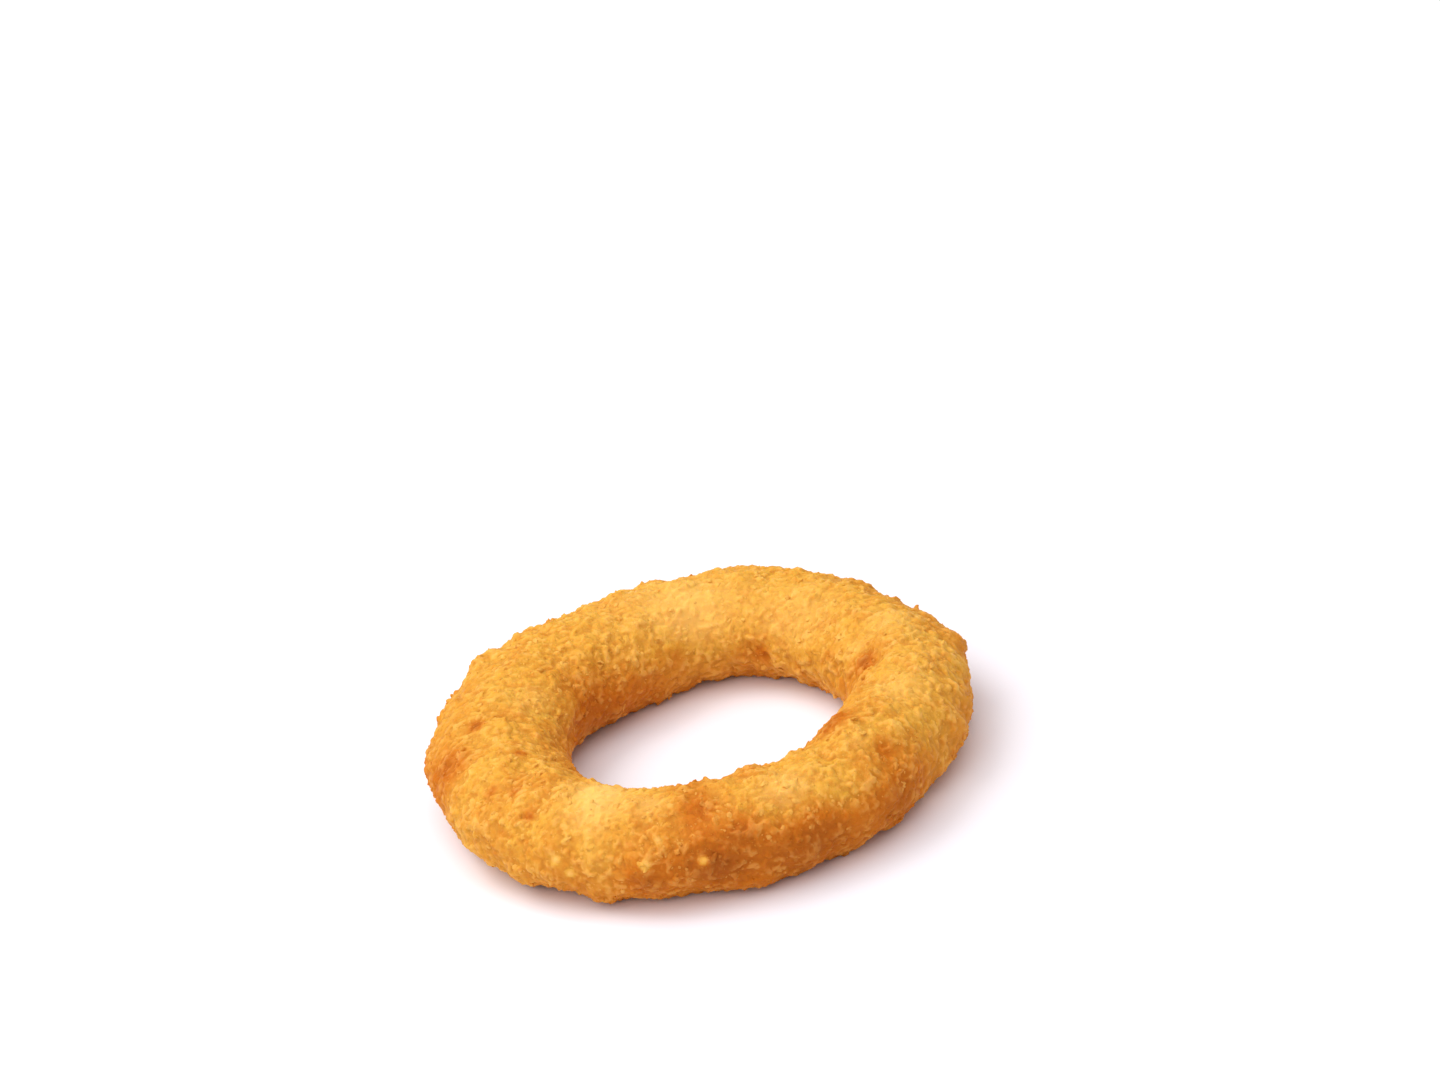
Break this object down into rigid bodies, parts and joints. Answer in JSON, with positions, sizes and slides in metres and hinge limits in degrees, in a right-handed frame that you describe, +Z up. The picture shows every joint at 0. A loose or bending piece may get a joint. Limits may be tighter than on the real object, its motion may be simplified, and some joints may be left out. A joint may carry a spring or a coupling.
{
  "type": "onion ring",
  "caption": "Fried onion ring in a craggy golden crumb coat, open in the middle, lying flat on its pressed underside.",
  "frame": {"origin": "on the surface that the ring lies on, under the middle of its outline", "axes": "+Z up, through the ring's hole; +X along the ring's longer way; +Y across it, away from the camera of the dressed scene"},
  "size_m": [0.0738, 0.0726, 0.0147],
  "materials": {
    "fried_crumb": "deep-fried crumb coat, golden with paler yellow and orange-brown patches, rough, with a thin shine of oil on the tips of the crumbs"
  },
  "bodies": {
    "root": {"onion_ring": "fried_crumb"}
  },
  "joints": []
}
